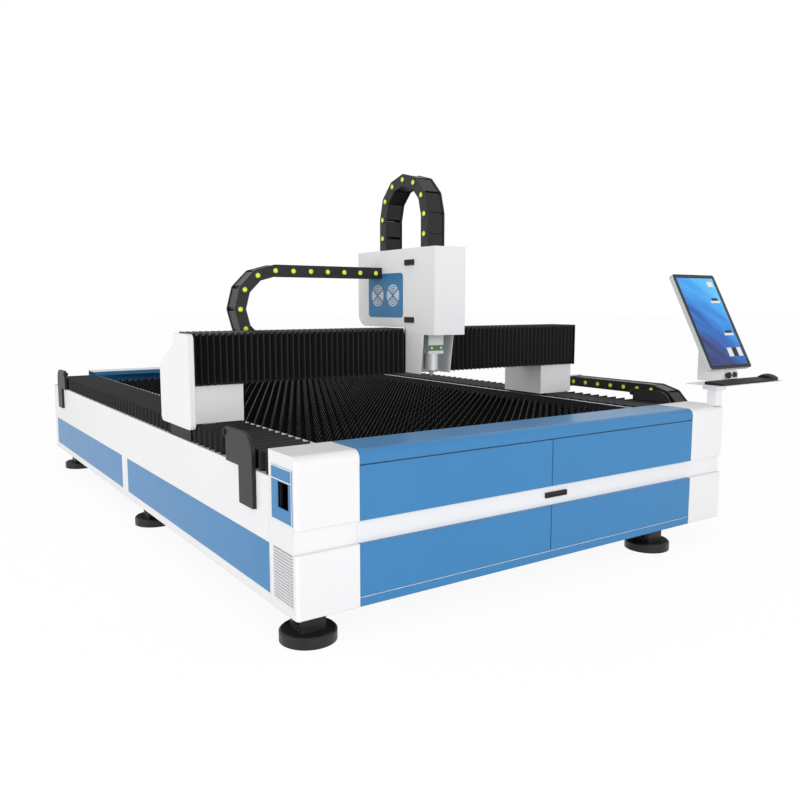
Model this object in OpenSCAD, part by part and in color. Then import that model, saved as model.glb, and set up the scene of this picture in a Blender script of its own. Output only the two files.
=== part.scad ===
// Fiber laser cutting machine: a welded bed with a toothed slat table, a gantry that runs along
// the bed, a cutting head that runs along the gantry, and an operator's console at the front.
// Millimetres. X runs along the gantry, Y from the front face to the rear, Z up from the floor.

/* [Bed] */
// Width of the bed over its side skirts
bed_w = 2300; // [2200:10:2600]
// Length of the bed from the front face to the rear face
bed_l = 3880; // [3700:10:4600]
// Height of the skirts' lower edge above the floor
floor_gap = 95; // [85:1:130]
// Height of the side skirts
skirt_h = 453; // [440:1:480]
// Thickness of the skirt sheet
skirt_t = 4; // [3:0.5:6]
// Thickness of the folded cover sheet
sheet_t = 3; // [2:0.5:4]
// Width of each hollow side beam
beam_w = 238; // [220:1:250]
// Wall of the hollow side beams
beam_wall = 8; // [6:1:12]
// Width of each front corner cover
corner_w = 241; // [225:1:260]
// Depth of the front and rear end sections
end_d = 200; // [180:1:220]
// Height of the corner covers above the side skirts
corner_rise = 95; // [90:1:120]
// Radius of the rolled edge at the top of the front
roll_r = 30; // [15:1:40]
// Radius of the corner covers' upright front edges
corner_r = 12; // [6:1:20]
// Height of the lower front panels
lower_h = 222; // [200:1:240]
// Height of the recessed band across the front
band_h = 81; // [60:1:95]
// Depth of the recessed band
band_d = 20; // [12:1:22]
// Distance of the split between the side panels from the front face
side_split_y = 2042; // [1800:1:2400]

/* [Feet] */
// Diameter of a levelling foot's pad
pad_d = 200; // [150:1:240]
// Thickness of a levelling foot's pad
pad_h = 40; // [25:1:50]
// Side of a foot's square column
column_w = 90; // [70:1:94]
// Distance of the left feet from the bed's outer face
left_foot_in = 75; // [70:1:110]
// Distance of the right feet from the bed's outer face
right_foot_in = 450; // [300:1:600]
// Distance of the front feet from the front face
front_foot_y = 70; // [65:1:110]
// Distance of the rear feet from the rear face
rear_foot_in = 390; // [300:10:500]

/* [Slat table] */
// Distance from one slat to the next
slat_pitch = 92; // [70:1:120]
// Distance from one tooth to the next along a slat
tooth_pitch = 46; // [30:1:60]
// Depth of a slat's teeth
tooth_h = 34; // [20:1:45]
// Height of a slat over its teeth
slat_h = 105; // [90:1:130]
// Thickness of a slat
slat_t = 4; // [3:0.5:6]
// Height of the slat tips above the side skirts
tip_rise = 42; // [30:1:50]

/* [Pleated covers] */
// Height of the rail covers above the side beams
cover_h = 75; // [65:1:90]
// Pleat pitch of the rail covers
y_pleat = 48; // [36:1:64]
// Pleat pitch of the gantry covers
x_pleat = 28.5; // [22:0.5:40]
// Depth of a pleat
pleat_d = 16; // [10:1:20]

/* [Gantry] */
// Distance of the gantry feet from the front face with the gantry parked
gantry_y = 970; // [900:10:1200]
// Depth of a gantry foot along the bed
gantry_foot_d = 300; // [260:1:340]
// Width of a gantry foot
gantry_foot_w = 236; // [220:1:250]
// Height of a gantry foot
gantry_foot_h = 160; // [130:1:190]
// Height of the gantry beam
gantry_h = 195; // [180:1:240]
// Depth of the gantry beam
gantry_d = 130; // [110:1:150]
// Thickness of the left end cover
end_cover_t = 22; // [15:1:30]
// Distance of the gantry beam's right end from the bed's outer face
right_end_in = 35; // [30:1:60]

/* [Cutting head] */
// Offset of the head housing from the bed's centre line with the head parked
head_x = 19; // [-100:1:100]
// Width of the head housing
head_w = 180; // [170:1:220]
// Height of the head housing above the gantry covers
head_h = 383; // [360:1:420]
// Depth of the front half of the housing
front_cover_d = 234; // [220:1:260]
// Depth of the rear half of the housing
rear_housing_d = 440; // [400:1:480]
// Height of the guard below the front cover
guard_h = 189; // [170:1:195]
// Width of the cutting head's body
head_body_w = 90; // [70:1:100]
// Diameter of the nozzle barrel
barrel_d = 62; // [45:1:70]
// Travel of the head down from its parked height
head_travel = 170; // [120:1:175]

/* [Drag chains] */
// Distance from one chain pivot to the next
chain_pitch = 92; // [85:1:100]
// Height of a chain link
chain_h = 54; // [44:1:60]
// Width of a chain
chain_w = 100; // [80:1:110]
// Number of links round a half turn of a chain
bend_links = 6; // [5:1:8]
// Length of the gantry chain from the housing to its bend with the head parked
x_chain_reach = 590; // [540:1:640]
// Length of the bed chain from the gantry to its bend with the gantry parked
y_chain_reach = 584; // [500:1:640]
// Height of the head chain's bend above the housing
z_chain_rise = 155; // [140:1:220]

/* [Console] */
// Width of the monitor
monitor_w = 340; // [300:1:360]
// Height of the monitor
monitor_h = 520; // [450:1:560]
// Thickness of the monitor
monitor_t = 22; // [16:1:30]
// Lean of the monitor from upright, in degrees
monitor_lean = 28; // [15:1:35]
// Width of the keyboard tray
tray_w = 515; // [500:1:560]
// Depth of the keyboard tray
tray_d = 195; // [185:1:220]
// Height of the post and its collar under the tray
post_h = 107; // [95:1:140]
// Side of the square post
post_w = 46; // [36:1:60]

/* [Hidden] */
$fn = 48;

blue = [0.31, 0.56, 0.76];
white = [0.93, 0.93, 0.94];
black = [0.12, 0.12, 0.12];
steel = [0.62, 0.63, 0.65];
dark_grey = [0.34, 0.34, 0.34];

// Running and seating clearances
run_gap = 0.3;
panel_gap = 2;
split_gap = 4;
cut = 1;

// Bed levels and faces
half_w = bed_w / 2;
side_z = floor_gap + skirt_h;
corner_z = side_z + corner_rise;
beam_z0 = floor_gap + 20;
beam_out = half_w - skirt_t;
beam_in = beam_out - beam_w;
fascia_x = half_w - corner_w;
lower_z = floor_gap + lower_h;
upper_z = lower_z + band_h;
cap_h = 50;
cap_z = corner_z - cap_h;
sill_h = 30;
upstand_w = 22;
upstand_in = beam_in - upstand_w;
upstand_z = side_z + 64;
upstand_h = 210;
cross_w = 90;
cross_h = 140;
cross_wall = 6;
cross_z = beam_z0 + cross_h;
rear_foot_y = bed_l - rear_foot_in;
foot_rows = [front_foot_y, (front_foot_y + rear_foot_y) / 2, rear_foot_y];
beam_y0 = front_foot_y + cross_w / 2;
beam_y1 = bed_l - band_d - sheet_t;

// Side trim
infill_z0 = floor_gap + 37;
infill_h = 181;
infill_t = 2;
infill_y = [[end_d + 6, side_split_y - 52], [side_split_y + 53, bed_l - 56]];
trim_y0 = 22;
trim_d = end_d - 46;
louvre_n = 17;
louvre_in = 3.5;
louvre_out = 2.5;
window_z0 = upper_z + 12;
window_h = 186;
slot_y0 = trim_y0 + 24;
slot_d = 78;
slot_z0 = upper_z + 60;
slot_h = 88;

// Slat table
tip_z = side_z + tip_rise;
slat_z0 = tip_z - slat_h;
slat_half = upstand_in - 1;
slat_y0 = end_d + 45;
slat_n = floor((bed_l - 2 * slat_y0) / slat_pitch) + 1;
tooth_n = floor(2 * slat_half / tooth_pitch);
comb_w = 40;
comb_rise = 45;
comb_drop = 60;
comb_slot = slat_t + 2 * run_gap;
web_t = 12;
tray_h = 90;

// Rails and rail covers
guide_w = 30;
guide_h = 30;
rail_in = 90;
rack_in = 165;
rail_x = half_w - rail_in;
rack_x = half_w - rack_in;
guide_y0 = end_d + 30;
cover_in = beam_in + panel_gap;
cover_out = half_w - 6;
cover_z = side_z + cover_h;
cover_wall = 6;
cover_lap = 17;
cover_ends = [
    [end_d + 0.5, gantry_y + cover_lap], [gantry_y + gantry_foot_d - cover_lap, bed_l - end_d - 0.5]
];

// End stops
stop_t = 15;
stop_d = 240;
stop_leg_d = 122;
stop_leg_h = 138;
stop_top = side_z + 128;
stop_r = 80;
front_stop_in = 305;
rear_stop_in = 205;
bumper_d = 30;
bumper_t = 20;

// Gantry
foot_out = half_w - 4;
foot_z0 = cover_z + 2;
gantry_z0 = foot_z0 + gantry_foot_h;
gantry_z1 = gantry_z0 + gantry_h;
gantry_y1 = gantry_y + gantry_foot_d;
gantry_x1 = half_w - right_end_in;
gbeam_y0 = gantry_y + 30;
gbeam_y1 = gbeam_y0 + gantry_d;
gantry_wall = 12;
foot_wall = 6;
apron_t = 4;
block_d = 80;
block_w = 60;
x_rail_w = 23;
x_rail_t = 22;
x_rail_in = 30;
end_cover_z0 = foot_z0 - 17;
end_cover_y0 = gantry_y - 58;
end_cover_y1 = gantry_y1 + 30;
front_y = gantry_y - 30;
xcover_in = gantry_y;
xcover_top = gantry_z1 + 32;
xcover_low = gantry_z0 + 0.5;
cap_t = 6;

// Carriage and housing
head_x0 = head_x - head_w / 2;
head_x1 = head_x + head_w / 2;
housing_z0 = xcover_top + 3;
housing_z1 = xcover_top + head_h;
front_z0 = housing_z0 - 31;
guard_z0 = front_z0 - guard_h;
cover_y0 = front_y - front_cover_d;
rear_y1 = front_y + rear_housing_d;
plate_t = 15;
block_t = 40;
x_block_w = 50;
x_block_h = 50;
x_block_in = 6;
z_rail_w = 20;
z_rail_t = 15;
z_rail_x = 35;
slide_w = 110;
slide_t = 30;
slide_gap = 5;
slide_y0 = front_y - slide_gap - slide_t;
panel_y0 = front_y + 23;
panel_d = 314;
panel_z0 = housing_z0 + 47;
panel_h = 219;
panel_t = 2;
panel_sink = 1;
panel_r = 20;
fan_d = 108;
fan_t = 2;
fan_in = 86;
fan_step = 140;
fan_y = [panel_y0 + fan_in, panel_y0 + fan_in + fan_step];
fan_z = panel_z0 + panel_h / 2;

// Chains
bend_step = 180 / bend_links;
bend_r = chain_pitch / (2 * sin(bend_step / 2));
chain_plate_t = 9;
chain_seam = 0.6;
chain_lid_t = 4;
chain_lid_in = 2;
chain_min_end = chain_h / 2;
chain_hold = chain_h / 2 + 18;
chain_flange_t = 6;
chain_tray_lip = 60;
chain_rest = 0.5;
x_tray_z = gantry_z0 + 113;
x_low_z = x_tray_z + sheet_t + chain_rest + chain_h / 2;
x_chain_y0 = gbeam_y1 + 20;
x_tray_y1 = x_chain_y0 + chain_w + 48;
x_bend_x = head_x0 - x_chain_reach;
x_bend_z = x_low_z + bend_r;
x_tray_x0 = x_bend_x - bend_r - 127;
x_low_n = 6;
y_chain_x0 = half_w + 30;
y_up_z = foot_z0 + 52;
y_bend_z = y_up_z - bend_r;
chain_arm_in = 64;
y_bend_y = gantry_y + chain_arm_in - y_chain_reach;
y_low_z = y_up_z - 2 * bend_r;
y_low_n = 15;
y_tray_z = y_low_z - chain_h / 2 - chain_rest - sheet_t;
tray_lead = 12;
y_tray_y0 = y_bend_y - bend_r - tray_lead;
y_tray_y1 = y_bend_y + (y_low_n + 1) * chain_pitch;
arm_t = 15;
z_bend_y = front_y + 56;
z_bend_z = housing_z1 + z_chain_rise;
z_chain_x0 = head_x - 69;
z_low_n = 3;
z_end_len = chain_h / 2 + 3;
shelf_t = 8;
shelf_z = z_bend_z - z_low_n * chain_pitch - z_end_len - run_gap;

// Cutting head
head_body_d = 93;
head_body_y0 = slide_y0 - head_body_d;
head_body_z0 = guard_z0 + 94.5;
head_body_z1 = shelf_z - shelf_t - 15;
slide_z0 = head_body_z0 + 8;
slide_hold = 75;
drawer_z0 = head_body_z0 + 15.5;
drawer_h = 27;
drawer_d = 50;
drawer_lip = 2;
barrel_h = 79.5;
tip_h = 28;
head_axis_y = head_body_y0 + 36;

// Console
post_x0 = half_w - 60;
post_y0 = 6;
collar_h = 30;
collar_w = 76;
tray_in = 170;
tray_x0 = half_w - tray_in;
tray_y0 = -97;
tray_z = corner_z + post_h;
desk_z = tray_z + sheet_t;
monitor_x0 = tray_x0 + 90;
monitor_y0 = 25;
monitor_z0 = desk_z + 64;
bezel = 11;
screen_t = 2;
head_box_x0 = half_w + 17;
head_box_w = 132;
head_front_y = 30;
head_box_d = 135;
head_box_h = 205;
head_lip_h = 45;
switch_z = desk_z + 32;
stop_x = head_box_x0 + 35;
key_x = head_box_x0 + 96;
stem_d = 16;
stem_in = 20;
bore_in = 30;
knob_gap = 8;
monitor_back = monitor_t + run_gap;

// The model stands with the middle of its outer box over the origin
left_x = max(half_w - left_foot_in + pad_d / 2, foot_out + end_cover_t, half_w + stop_t / 2 + bumper_d / 2);
mid_x = (tray_x0 + tray_w - left_x) / 2;
mid_y = (tray_y0 + bed_l) / 2;

// Helpers

module placed(tint) {
    color(tint) translate([-mid_x, -mid_y, 0]) children();
}

module both_sides() {
    children();
    mirror([1, 0, 0]) children();
}

module box(low, high) {
    translate(low) cube(high - low);
}

// Carries an outline of Y and Z along X
module along_x(x0, x1) {
    translate([x0, 0, 0]) rotate([90, 0, 90]) linear_extrude(x1 - x0) children();
}

// Carries an outline of X and Z along Y
module along_y(y0, y1) {
    translate([0, y1, 0]) rotate([90, 0, 0]) linear_extrude(y1 - y0) children();
}

// Carries an outline of X and Y along Z
module along_z(z0, z1) {
    translate([0, 0, z0]) linear_extrude(z1 - z0) children();
}

module rounded_rect(low, high, r) {
    translate([low.x + r, low.y]) square([high.x - low.x - 2 * r, high.y - low.y]);
    translate([low.x, low.y + r]) square([high.x - low.x, high.y - low.y - 2 * r]);
    for (x = [low.x + r, high.x - r], y = [low.y + r, high.y - r]) translate([x, y]) circle(r);
}

// A zigzag of n pleats from a to b, rising from level low to level high
function pleats(a, b, n, low, high) =
    [for (i = [0:2 * n]) [a + (b - a) * i / (2 * n), i % 2 == 0 ? low : high]];
function flipped(points) = [for (i = [len(points) - 1:-1:0]) points[i]];
function swapped(points) = [for (p = points) [p.y, p.x]];

// Bed frame

module side_beams() placed(steel) both_sides() {
    difference() {
        box([beam_in, beam_y0, beam_z0], [beam_out, beam_y1, side_z]);
        box(
            [beam_in + beam_wall, 0, beam_z0 + beam_wall],
            [beam_out - beam_wall, bed_l, side_z - beam_wall]
        );
    }
    box([upstand_in, end_d + 3, upstand_z - upstand_h], [beam_in, bed_l - end_d - 3, upstand_z]);
}

module crossbeam(y, reach) difference() {
    box([-reach, y - cross_w / 2, beam_z0], [reach, y + cross_w / 2, cross_z]);
    box(
        [-half_w, y - cross_w / 2 + cross_wall, beam_z0 + cross_wall],
        [half_w, y + cross_w / 2 - cross_wall, cross_z - cross_wall]
    );
}

// The front crossbeam closes the ends of the side beams, and the others stand between them
module crossbeams() placed(steel) {
    crossbeam(foot_rows[0], beam_out);
    crossbeam(foot_rows[1], beam_in);
    crossbeam(foot_rows[2], beam_in);
}

module levelling_foot() {
    window = column_w - 50;
    cylinder(h = pad_h - 6, d = pad_d);
    translate([0, 0, pad_h - 6]) cylinder(h = 6, d1 = pad_d, d2 = pad_d - 12);
    difference() {
        box([-column_w / 2, -column_w / 2, pad_h], [column_w / 2, column_w / 2, beam_z0]);
        box([-column_w, -window / 2, pad_h + 18], [column_w, window / 2, beam_z0 - 15]);
    }
}

module levelling_feet() placed(black)
    for (y = foot_rows, x = [left_foot_in - half_w, half_w - right_foot_in])
        translate([x, y, 0]) levelling_foot();

// Side skirts and trim

module side_skirts() placed(white) both_sides() difference() {
    box([beam_out, end_d, floor_gap], [half_w, bed_l - sheet_t, side_z]);
    for (span = infill_y) box(
        [half_w - infill_t, span[0], infill_z0],
        [half_w + cut, span[1], infill_z0 + infill_h]
    );
}

module infill_panels() placed(blue) both_sides() for (span = infill_y) box(
    [half_w - infill_t, span[0] + 1, infill_z0 + 1],
    [half_w, span[1] - 1, infill_z0 + infill_h - 1]
);

// Outline of the front end seen from the side, drawn inside its outer face by inset
module front_outline(inset) {
    r = roll_r - inset;
    top = corner_z - inset;
    back = end_d - inset;
    translate([inset, floor_gap]) square([back - inset, lower_h - inset]);
    translate([band_d + inset, floor_gap]) square([back - band_d - inset, top - floor_gap - roll_r]);
    translate([inset, upper_z + inset]) square([back - inset, top - upper_z - roll_r]);
    translate([roll_r, upper_z + inset]) square([back - roll_r, top - upper_z - inset]);
    translate([roll_r, corner_z - roll_r]) circle(r);
}

// Outline of a corner cover seen from above, with its outer front edge rounded
module corner_plan(inset) {
    r = corner_r - inset;
    translate([0, corner_r]) square([half_w - inset, bed_l]);
    square([half_w - corner_r, bed_l]);
    translate([half_w - corner_r, corner_r]) circle(r);
}

module corner_covers() placed(white) both_sides() difference() {
    intersection() {
        along_x(fascia_x, half_w) front_outline(0);
        along_z(0, corner_z) corner_plan(0);
    }
    intersection() {
        along_x(fascia_x - cut, half_w - sheet_t) {
            front_outline(sheet_t);
            translate([band_d + sheet_t, 0]) square([end_d, side_z]);
            translate([sheet_t, 0]) square([end_d, lower_z - sheet_t]);
        }
        along_z(-cut, corner_z) corner_plan(sheet_t);
    }
    box([half_w - 2 * sheet_t, trim_y0, infill_z0], [half_w + cut, trim_y0 + trim_d, infill_z0 + infill_h]);
    box(
        [half_w - 2 * sheet_t, trim_y0 + 8, window_z0 + 8],
        [half_w + cut, trim_y0 + trim_d - 8, window_z0 + window_h - 8]
    );
}

// Louvres are sloped blades between two stiles, set in the corner cover's side opening
module vent_grilles() placed([0.82, 0.82, 0.83]) both_sides() {
    step = infill_h / louvre_n;
    stile = 6;
    for (y = [trim_y0, trim_y0 + trim_d - stile])
        box([half_w - louvre_in, y, infill_z0], [half_w, y + stile, infill_z0 + infill_h]);
    for (i = [0:louvre_n - 1]) along_y(trim_y0 + stile, trim_y0 + trim_d - stile) polygon([
        [half_w - louvre_in, infill_z0 + (i + 0.62) * step],
        [half_w + louvre_out, infill_z0 + i * step],
        [half_w + louvre_out, infill_z0 + (i + 0.3) * step],
        [half_w - louvre_in, infill_z0 + (i + 0.92) * step]
    ]);
}

// The access plate on the corner cover has a hand slot and a split across its top
module window_plates() placed(blue) both_sides() difference() {
    box([half_w, trim_y0, window_z0], [half_w + sheet_t, trim_y0 + trim_d, window_z0 + window_h]);
    box([half_w - cut, slot_y0, slot_z0], [half_w + 2 * sheet_t, slot_y0 + slot_d, slot_z0 + slot_h]);
    box(
        [half_w + sheet_t - 1, trim_y0 - cut, window_z0 + window_h - 46],
        [half_w + 2 * sheet_t, trim_y0 + trim_d + cut, window_z0 + window_h - 43]
    );
}

// Front fascia

module front_backplate() placed(white) box(
    [-fascia_x, band_d, floor_gap],
    [fascia_x, band_d + sheet_t, corner_z - roll_r]
);

module front_top_cap() placed(blue) along_x(-fascia_x, fascia_x) difference() {
    intersection() {
        front_outline(0);
        translate([0, cap_z]) square([end_d, cap_h]);
    }
    front_outline(sheet_t);
}

// A pan with a folded rim, open towards the backplate
module front_pan(x0, x1, z0, z1) difference() {
    box([x0, 0, z0], [x1, band_d, z1]);
    box([x0 + sheet_t, sheet_t, z0 + sheet_t], [x1 - sheet_t, band_d + cut, z1 - sheet_t]);
}

module front_panel_pair(z0, z1) {
    front_pan(-fascia_x + 1, -split_gap / 2, z0, z1);
    front_pan(split_gap / 2, fascia_x - 1, z0, z1);
}

module front_panels() placed(blue) {
    front_panel_pair(upper_z, cap_z - split_gap);
    front_panel_pair(floor_gap + sill_h + split_gap, lower_z - panel_gap);
    front_pan(-fascia_x + 1, fascia_x - 1, floor_gap, floor_gap + sill_h);
}

module front_pull() placed(black) {
    pull_w = 120;
    pull_x = 40;
    pull_h = 22;
    pull_z = lower_z + 30;
    pull_t = 8;
    rim = 5;
    dish = 3;
    difference() {
        box([pull_x - pull_w / 2, band_d - pull_t, pull_z], [pull_x + pull_w / 2, band_d, pull_z + pull_h]);
        box(
            [pull_x - pull_w / 2 + rim, band_d - pull_t - cut, pull_z + rim],
            [pull_x + pull_w / 2 - rim, band_d - pull_t + dish, pull_z + pull_h - rim]
        );
    }
}

// Rear end

module rear_panel() placed(blue) {
    box([-half_w, bed_l - sheet_t, floor_gap], [half_w, bed_l, side_z]);
    box([-fascia_x, bed_l - sheet_t, side_z], [fascia_x, bed_l, corner_z - 3]);
    box([-fascia_x, bed_l - end_d, upstand_z + 1], [fascia_x, bed_l - end_d + sheet_t, corner_z - 3]);
    box([-fascia_x, bed_l - end_d, corner_z - 9], [fascia_x, bed_l, corner_z - 6]);
}

module rear_top_cap() placed(white) box(
    [-fascia_x, bed_l - end_d + sheet_t + 1, corner_z - 6],
    [fascia_x, bed_l - 30, corner_z - 1]
);

// Slat table

module slats() placed(black) for (i = [0:slat_n - 1]) along_y(
    slat_y0 + i * slat_pitch - slat_t / 2,
    slat_y0 + i * slat_pitch + slat_t / 2
) polygon(concat(
    [[-slat_half, slat_z0], [slat_half, slat_z0]],
    flipped(pleats(-slat_half, slat_half, tooth_n, tip_z - tooth_h, tip_z))
));

// A bar with one slot for each slat
module slat_comb(x0, x1, z0) along_x(x0, x1) difference() {
    translate([end_d + 5, z0]) square([bed_l - 2 * end_d - 10, slat_z0 + comb_rise - z0]);
    for (i = [0:slat_n - 1])
        translate([slat_y0 + i * slat_pitch - comb_slot / 2, slat_z0]) square([comb_slot, slat_h]);
}

module slat_supports() placed(dark_grey) {
    both_sides() slat_comb(upstand_in - comb_w, upstand_in, slat_z0 - comb_drop);
    slat_comb(-web_t / 2, web_t / 2, cross_z);
}

module scrap_trays() placed(dark_grey) both_sides() difference() {
    box([web_t / 2 + 5, end_d, cross_z], [upstand_in - comb_w, bed_l - end_d - 5, cross_z + tray_h]);
    box(
        [web_t / 2 + 5 + sheet_t, end_d + sheet_t, cross_z + sheet_t],
        [upstand_in - comb_w - sheet_t, bed_l - end_d - 5 - sheet_t, cross_z + tray_h + cut]
    );
}

// Bed guides, their covers and stops

module y_guides() placed(steel) both_sides() for (x = [rail_x, rack_x]) box(
    [x - guide_w / 2, guide_y0, side_z],
    [x + guide_w / 2, bed_l - guide_y0, side_z + guide_h]
);

// A pleated cover that bridges the rail and rack, open underneath
module rail_cover(y0, y1) {
    n = round((y1 - y0) / y_pleat);
    low = side_z + run_gap;
    difference() {
        intersection() {
            along_x(cover_in, cover_out) polygon(concat(
                [[y1, low], [y0, low]], pleats(y0, y1, n, cover_z - pleat_d, cover_z)
            ));
            along_z(low, cover_z) polygon(concat(
                swapped(pleats(y0, y1, n, cover_out - pleat_d, cover_out)),
                flipped(swapped(pleats(y0, y1, n, cover_in + pleat_d, cover_in)))
            ));
        }
        box(
            [cover_in + pleat_d + cover_wall, y0 - cut, low - cut],
            [cover_out - pleat_d - cover_wall, y1 + cut, cover_z - pleat_d - cover_wall]
        );
    }
}

module y_bellows_front() placed(black) both_sides() rail_cover(cover_ends[0][0], cover_ends[0][1]);

module y_bellows_rear() placed(black) both_sides() rail_cover(cover_ends[1][0], cover_ends[1][1]);

// One stop plate seen from the side, its leg at the outer end and its bumper edge at y = stop_d
module stop_outline() {
    translate([0, side_z - stop_leg_h]) square([stop_leg_d, stop_leg_h]);
    translate([0, side_z]) square([stop_d, stop_top - side_z - stop_r]);
    translate([stop_r, side_z]) square([stop_d - stop_r, stop_top - side_z]);
    intersection() {
        translate([stop_r, stop_top - stop_r]) circle(stop_r);
        translate([0, side_z]) square([stop_d, stop_top - side_z]);
    }
}

module end_pair() {
    translate([0, front_stop_in, 0]) children();
    translate([0, bed_l - rear_stop_in, 0]) mirror([0, 1, 0]) children();
}

module end_stop_brackets() placed(dark_grey) both_sides() end_pair()
    along_x(half_w, half_w + stop_t) stop_outline();

module end_stop_bumpers() placed(black) both_sides() end_pair()
    translate([half_w + stop_t / 2, stop_d, stop_top - bumper_d / 2 - 6]) rotate([-90, 0, 0]) {
        cylinder(h = bumper_t - 4, d = bumper_d);
        translate([0, 0, bumper_t - 4]) cylinder(h = 4, d1 = bumper_d, d2 = bumper_d - 8);
    }

// Drag chain links, drawn in a plane with the bend's centre at the origin and its runs along +X

// Side plate of a link from its round end at the origin to its hollow end one pitch away
module link_plate(mitre) difference() {
    union() {
        circle(d = chain_h);
        polygon([
            [chain_h / 2 * tan(mitre) + chain_seam, -chain_h / 2],
            [chain_pitch - chain_h / 2 * tan(mitre) - chain_seam, -chain_h / 2],
            [chain_pitch, chain_h / 2],
            [0, chain_h / 2]
        ]);
    }
    translate([chain_pitch, 0]) circle(d = chain_h + 2 * chain_seam);
}

module link_plates() for (z = [0, chain_w - chain_plate_t])
    translate([0, 0, z]) linear_extrude(chain_plate_t) children();

// Cross lid from x0 to x1 on the inner or outer side, joined to its own plates from hold0 to hold1
module chain_lid(x0, x1, hold0, hold1, side) {
    y = side * (chain_h / 2 - 3 - chain_lid_t / 2) - chain_lid_t / 2;
    w = chain_plate_t;
    box([x0, y, w + chain_seam], [x1, y + chain_lid_t, chain_w - w - chain_seam]);
    box([hold0, y, w], [hold1, y + chain_lid_t, chain_w - w]);
}

// Tongue under the outer lid that closes the slit at a pivot in every pose of the chain
module chain_tongue() {
    y = chain_h / 2 - 3 - chain_lid_t;
    w = chain_plate_t + chain_seam;
    box([-6, y - 6, w], [12, y - 2, chain_w - w]);
    box([4, y - 6, w], [12, y, chain_w - w]);
}

module chain_link(mitre) {
    chain_tongue();
    inner = chain_h / 2 * tan(bend_step / 2) + chain_lid_in;
    link_plates() link_plate(mitre);
    chain_lid(inner, chain_pitch - inner, chain_h / 2 + 3, chain_pitch - chain_h / 2 - 3, -1);
    chain_lid(chain_lid_in, chain_pitch - chain_lid_in, chain_h / 2 + 3, chain_pitch - chain_h / 2 - 3, 1);
}

// Bracket that takes the chain's moving end, with a flange across its far face
module chain_end(length) {
    chain_tongue();
    link_plates() {
        circle(d = chain_h);
        translate([0, -chain_h / 2]) square([length, chain_h]);
    }
    translate([length - chain_flange_t, -chain_h / 2, chain_plate_t])
        cube([chain_flange_t, chain_h, chain_w - 2 * chain_plate_t]);
    for (side = [-1, 1])
        chain_lid(chain_lid_in, length - chain_flange_t, chain_lid_in, length - chain_flange_t, side);
}

// Bracket that holds the chain's fixed end, hollowed for the first link
module chain_start(length) {
    link_plates() difference() {
        translate([-length, -chain_h / 2]) square([length, chain_h]);
        circle(d = chain_h + 2 * chain_seam);
    }
    translate([-length, -chain_h / 2, chain_plate_t])
        cube([chain_flange_t, chain_h, chain_w - 2 * chain_plate_t]);
    for (side = [-1, 1])
        chain_lid(chain_flange_t - length, -chain_lid_in, chain_flange_t - length, -chain_h / 2 - 3, side);
}

module chain_bend() for (k = [0:bend_links - 1])
    translate(bend_r * [cos(270 - k * bend_step), sin(270 - k * bend_step), 0])
        rotate([0, 0, 180 - (k + 0.5) * bend_step]) chain_link(bend_step / 2);

module fixed_run(n, end_len) {
    for (i = [1:1:n]) translate([i * chain_pitch, -bend_r, 0]) rotate([0, 0, 180]) chain_link(0);
    translate([n * chain_pitch, -bend_r, 0]) rotate([0, 0, 180]) chain_start(end_len);
}

module moving_run(reach) {
    n = floor((reach - chain_min_end) / chain_pitch);
    for (i = [0:1:n - 1]) translate([i * chain_pitch, bend_r, 0]) chain_link(0);
    translate([n * chain_pitch, bend_r, 0]) chain_end(reach - n * chain_pitch);
}

module x_chain_place() translate([x_bend_x, x_chain_y0 + chain_w, x_bend_z]) rotate([90, 0, 0]) children();

module y_chain_place() translate([y_chain_x0, y_bend_y, y_bend_z]) rotate([90, 0, 90]) children();

module z_chain_place() translate([z_chain_x0, z_bend_y, z_bend_z])
    rotate([90, 0, 90]) rotate([0, 0, -90]) mirror([0, 1, 0]) children();

module y_chain_lower_run() placed(black) y_chain_place() fixed_run(y_low_n, chain_hold);

module y_chain_bend() placed(black) y_chain_place() chain_bend();

module y_chain_upper_run() placed(black) y_chain_place() moving_run(y_chain_reach - run_gap);

module x_chain_lower_run() placed(black) x_chain_place() fixed_run(x_low_n, chain_hold);

module x_chain_bend() placed(black) x_chain_place() chain_bend();

module x_chain_upper_run() placed(black) x_chain_place()
    moving_run(x_chain_reach - (panel_t - panel_sink) - run_gap);

module z_chain_bend() placed(black) z_chain_place() chain_bend();

module y_chain_tray() placed(white) difference() {
    box(
        [half_w, y_tray_y0, y_tray_z],
        [y_chain_x0 + chain_w + 10, y_tray_y1, y_tray_z + sheet_t + chain_tray_lip]
    );
    box(
        [half_w + sheet_t, y_tray_y0 - cut, y_tray_z + sheet_t],
        [y_chain_x0 + chain_w + 10 - sheet_t, y_tray_y1 + cut, y_tray_z + sheet_t + chain_tray_lip + cut]
    );
}

// Gantry

module gantry_foot(x0) difference() {
    along_x(x0, x0 + gantry_foot_w) polygon([
        [gantry_y, foot_z0], [gantry_y1, foot_z0], [gantry_y1, gantry_z0 - 30],
        [gantry_y1 - 20, gantry_z0], [gantry_y, gantry_z0]
    ]);
    box(
        [x0 + foot_wall, gantry_y + foot_wall, foot_z0 + foot_wall],
        [x0 + gantry_foot_w - foot_wall, gantry_y1 - 30, gantry_z0 - foot_wall]
    );
}

// Two plates under a foot that close the rail between the pleated covers
module foot_aprons(x0, x1) for (x = [x0, x1 - apron_t]) box(
    [x, gantry_y + cover_lap + 0.5, side_z + 1.5],
    [x + apron_t, gantry_y1 - cover_lap - 0.5, foot_z0 - run_gap]
);

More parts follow.
